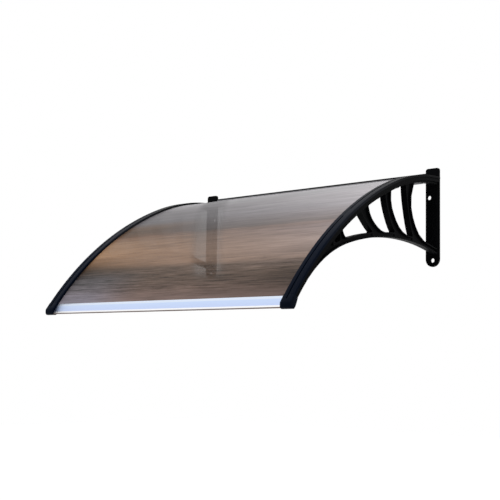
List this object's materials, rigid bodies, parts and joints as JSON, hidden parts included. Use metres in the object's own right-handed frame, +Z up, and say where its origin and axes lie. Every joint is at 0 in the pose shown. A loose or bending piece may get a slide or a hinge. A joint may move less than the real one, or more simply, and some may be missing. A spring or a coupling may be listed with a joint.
{
  "type": "door canopy",
  "caption": "Arched door canopy: a bronze sheet held between moulded wall brackets, with a front rail and cover strips.",
  "frame": {"origin": "on the wall plane, at mid-width, on the back of the wall seal, 19 mm above the middle of the sheet's rear edge", "axes": "+X along the wall, towards the bracket named right; +Y into the wall; +Z up"},
  "size_m": [1, 0.7278, 0.476],
  "materials": {
    "bronze_sheet": "bronze tinted translucent sheet, semi-gloss",
    "black_plastic": "black moulded plastic with a satin sheen",
    "aluminium": "satin anodised",
    "rubber": "matt black rubber",
    "steel": "zinc plated"
  },
  "bodies": {
    "root": {"polycarbonate_sheet": "bronze_sheet", "front_rail": "aluminium", "rear_rail": "black_plastic", "wall_seal": "rubber", "bracket_right": "black_plastic", "cover_strip_right": "black_plastic", "edge_gasket_right": "rubber", "end_cap_right": "black_plastic", "clamp_screw_right_1": "steel", "clamp_screw_right_2": "steel", "clamp_screw_right_3": "steel", "clamp_screw_right_4": "steel", "bracket_left": "black_plastic", "cover_strip_left": "black_plastic", "edge_gasket_left": "rubber", "end_cap_left": "black_plastic", "clamp_screw_left_1": "steel", "clamp_screw_left_2": "steel", "clamp_screw_left_3": "steel", "clamp_screw_left_4": "steel"}
  },
  "joints": []
}
